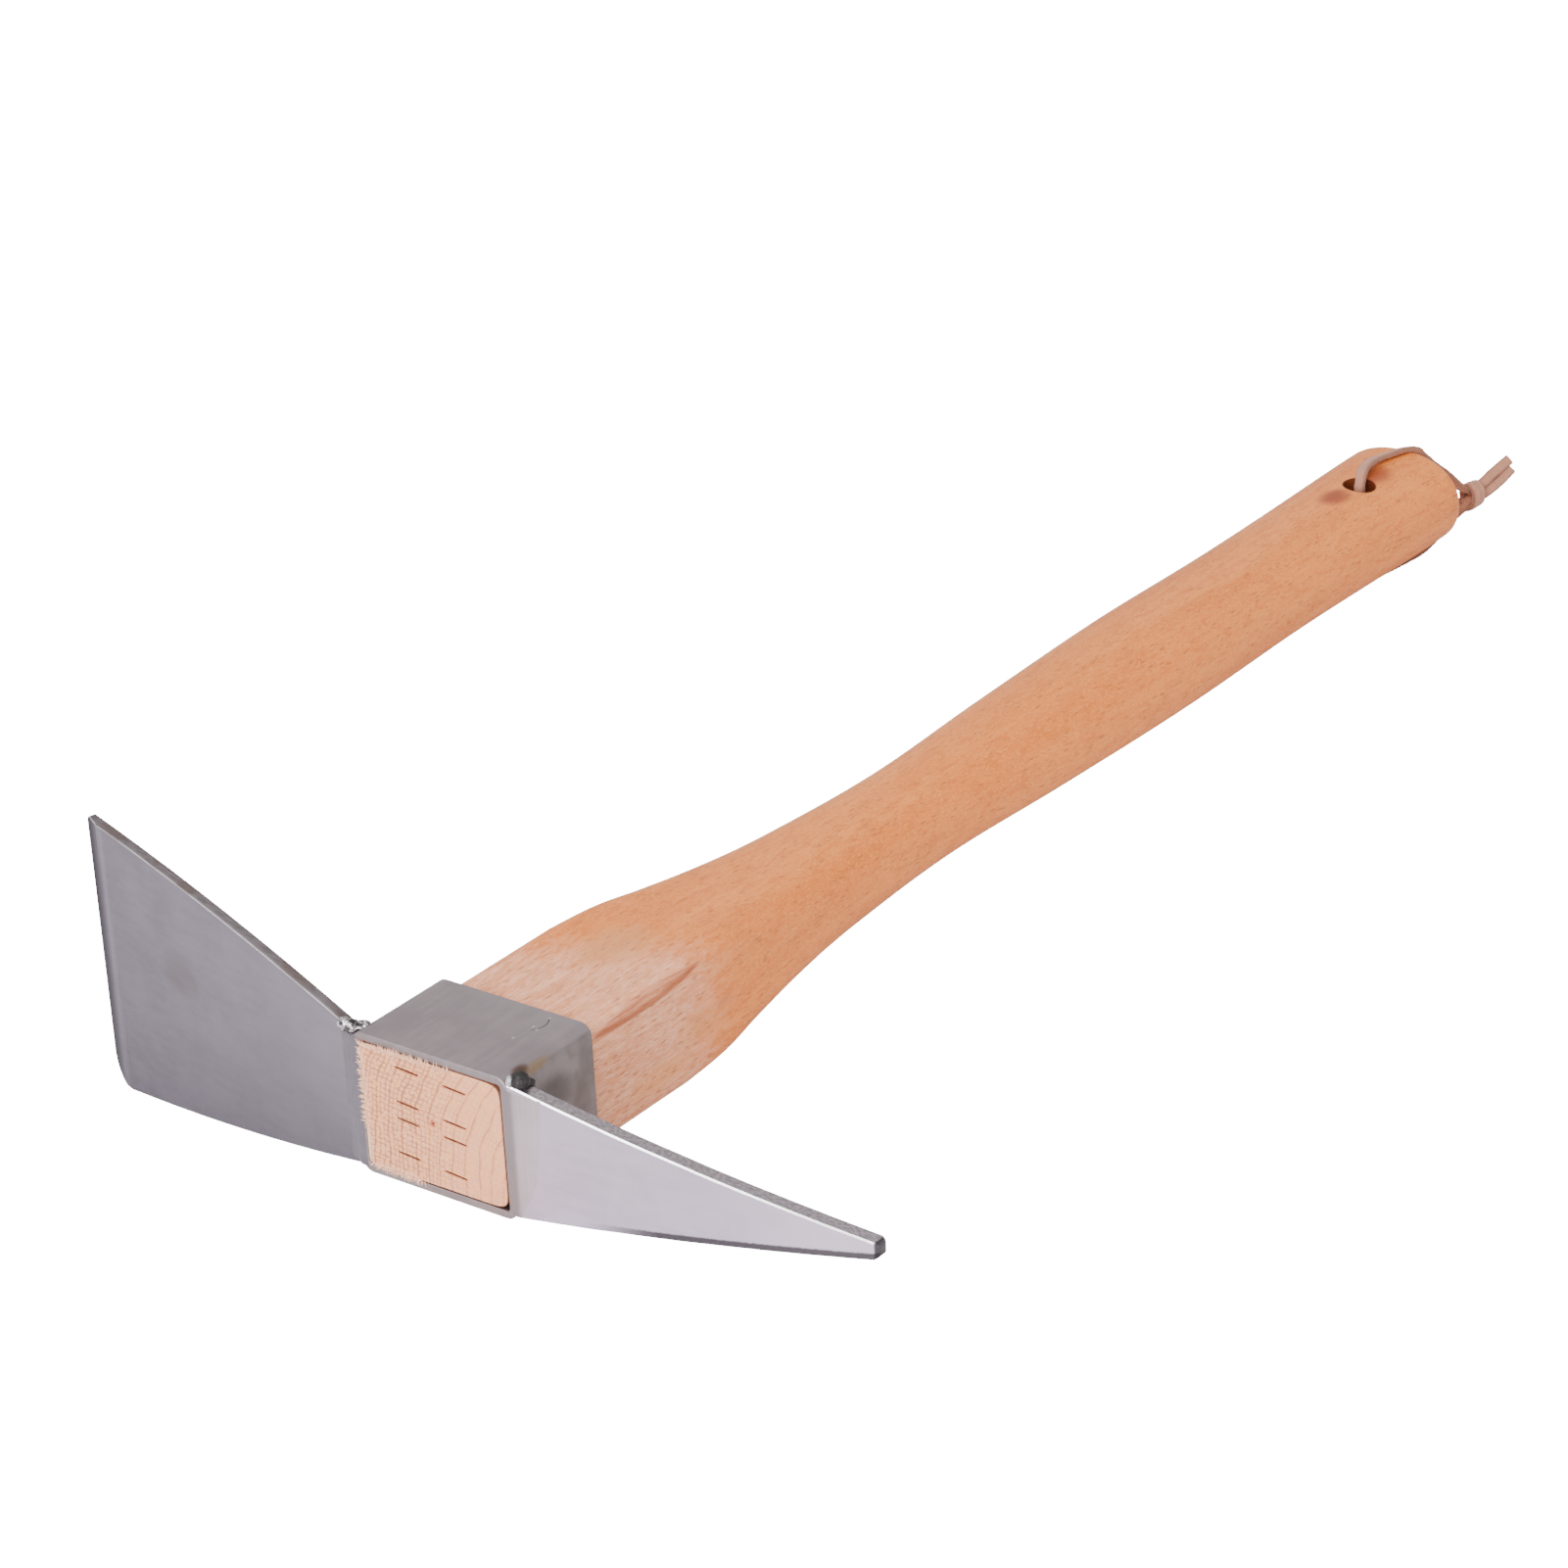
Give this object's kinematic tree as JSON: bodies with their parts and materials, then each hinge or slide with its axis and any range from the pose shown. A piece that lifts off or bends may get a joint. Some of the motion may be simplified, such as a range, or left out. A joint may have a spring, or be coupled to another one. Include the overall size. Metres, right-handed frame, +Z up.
{
  "type": "rock hammer",
  "caption": "Hand mattock for breaking and raking soil and loose rock: a welded steel head with a hoe blade and a pick on an oval wooden handle with a leather thong.",
  "frame": {"origin": "On the ground under the middle of the handle and head together, with the thong left out; the tool lies on its blade's lower corner, the socket's lower edge and the thong under the butt.", "axes": "+Y along the handle from the head to the butt, +X from the blade towards the pick, +Z up from the ground."},
  "size_m": [0.2404, 0.4566, 0.0706],
  "materials": {
    "beech": "sanded, with a thin satin varnish on the grip and bare wood at the head",
    "brushed_stainless": "satin, finely blasted",
    "weld_metal": "ground flush at the front, as laid behind",
    "suede_leather": "bare suede"
  },
  "bodies": {
    "tool": {"handle": "beech", "socket": "brushed_stainless", "blade": "brushed_stainless", "pick": "brushed_stainless", "blade_seam_weld": "weld_metal", "pick_seam_weld": "weld_metal", "blade_back_weld": "weld_metal", "pick_back_weld": "weld_metal", "blade_top_weld": "weld_metal", "pick_top_weld": "weld_metal"},
    "lanyard": {"thong_loop": "suede_leather", "thong_knot": "suede_leather", "thong_tail_1": "suede_leather", "thong_tail_2": "suede_leather"}
  },
  "joints": [
    {"name": "lanyard_swing", "type": "hinge", "parent": "tool", "child": "lanyard", "pos_m": [0.0091, 0.18277, 0.01738], "axis": [0.1244, 0.0062, 0.9922], "range_deg": [-100, 0]}
  ]
}
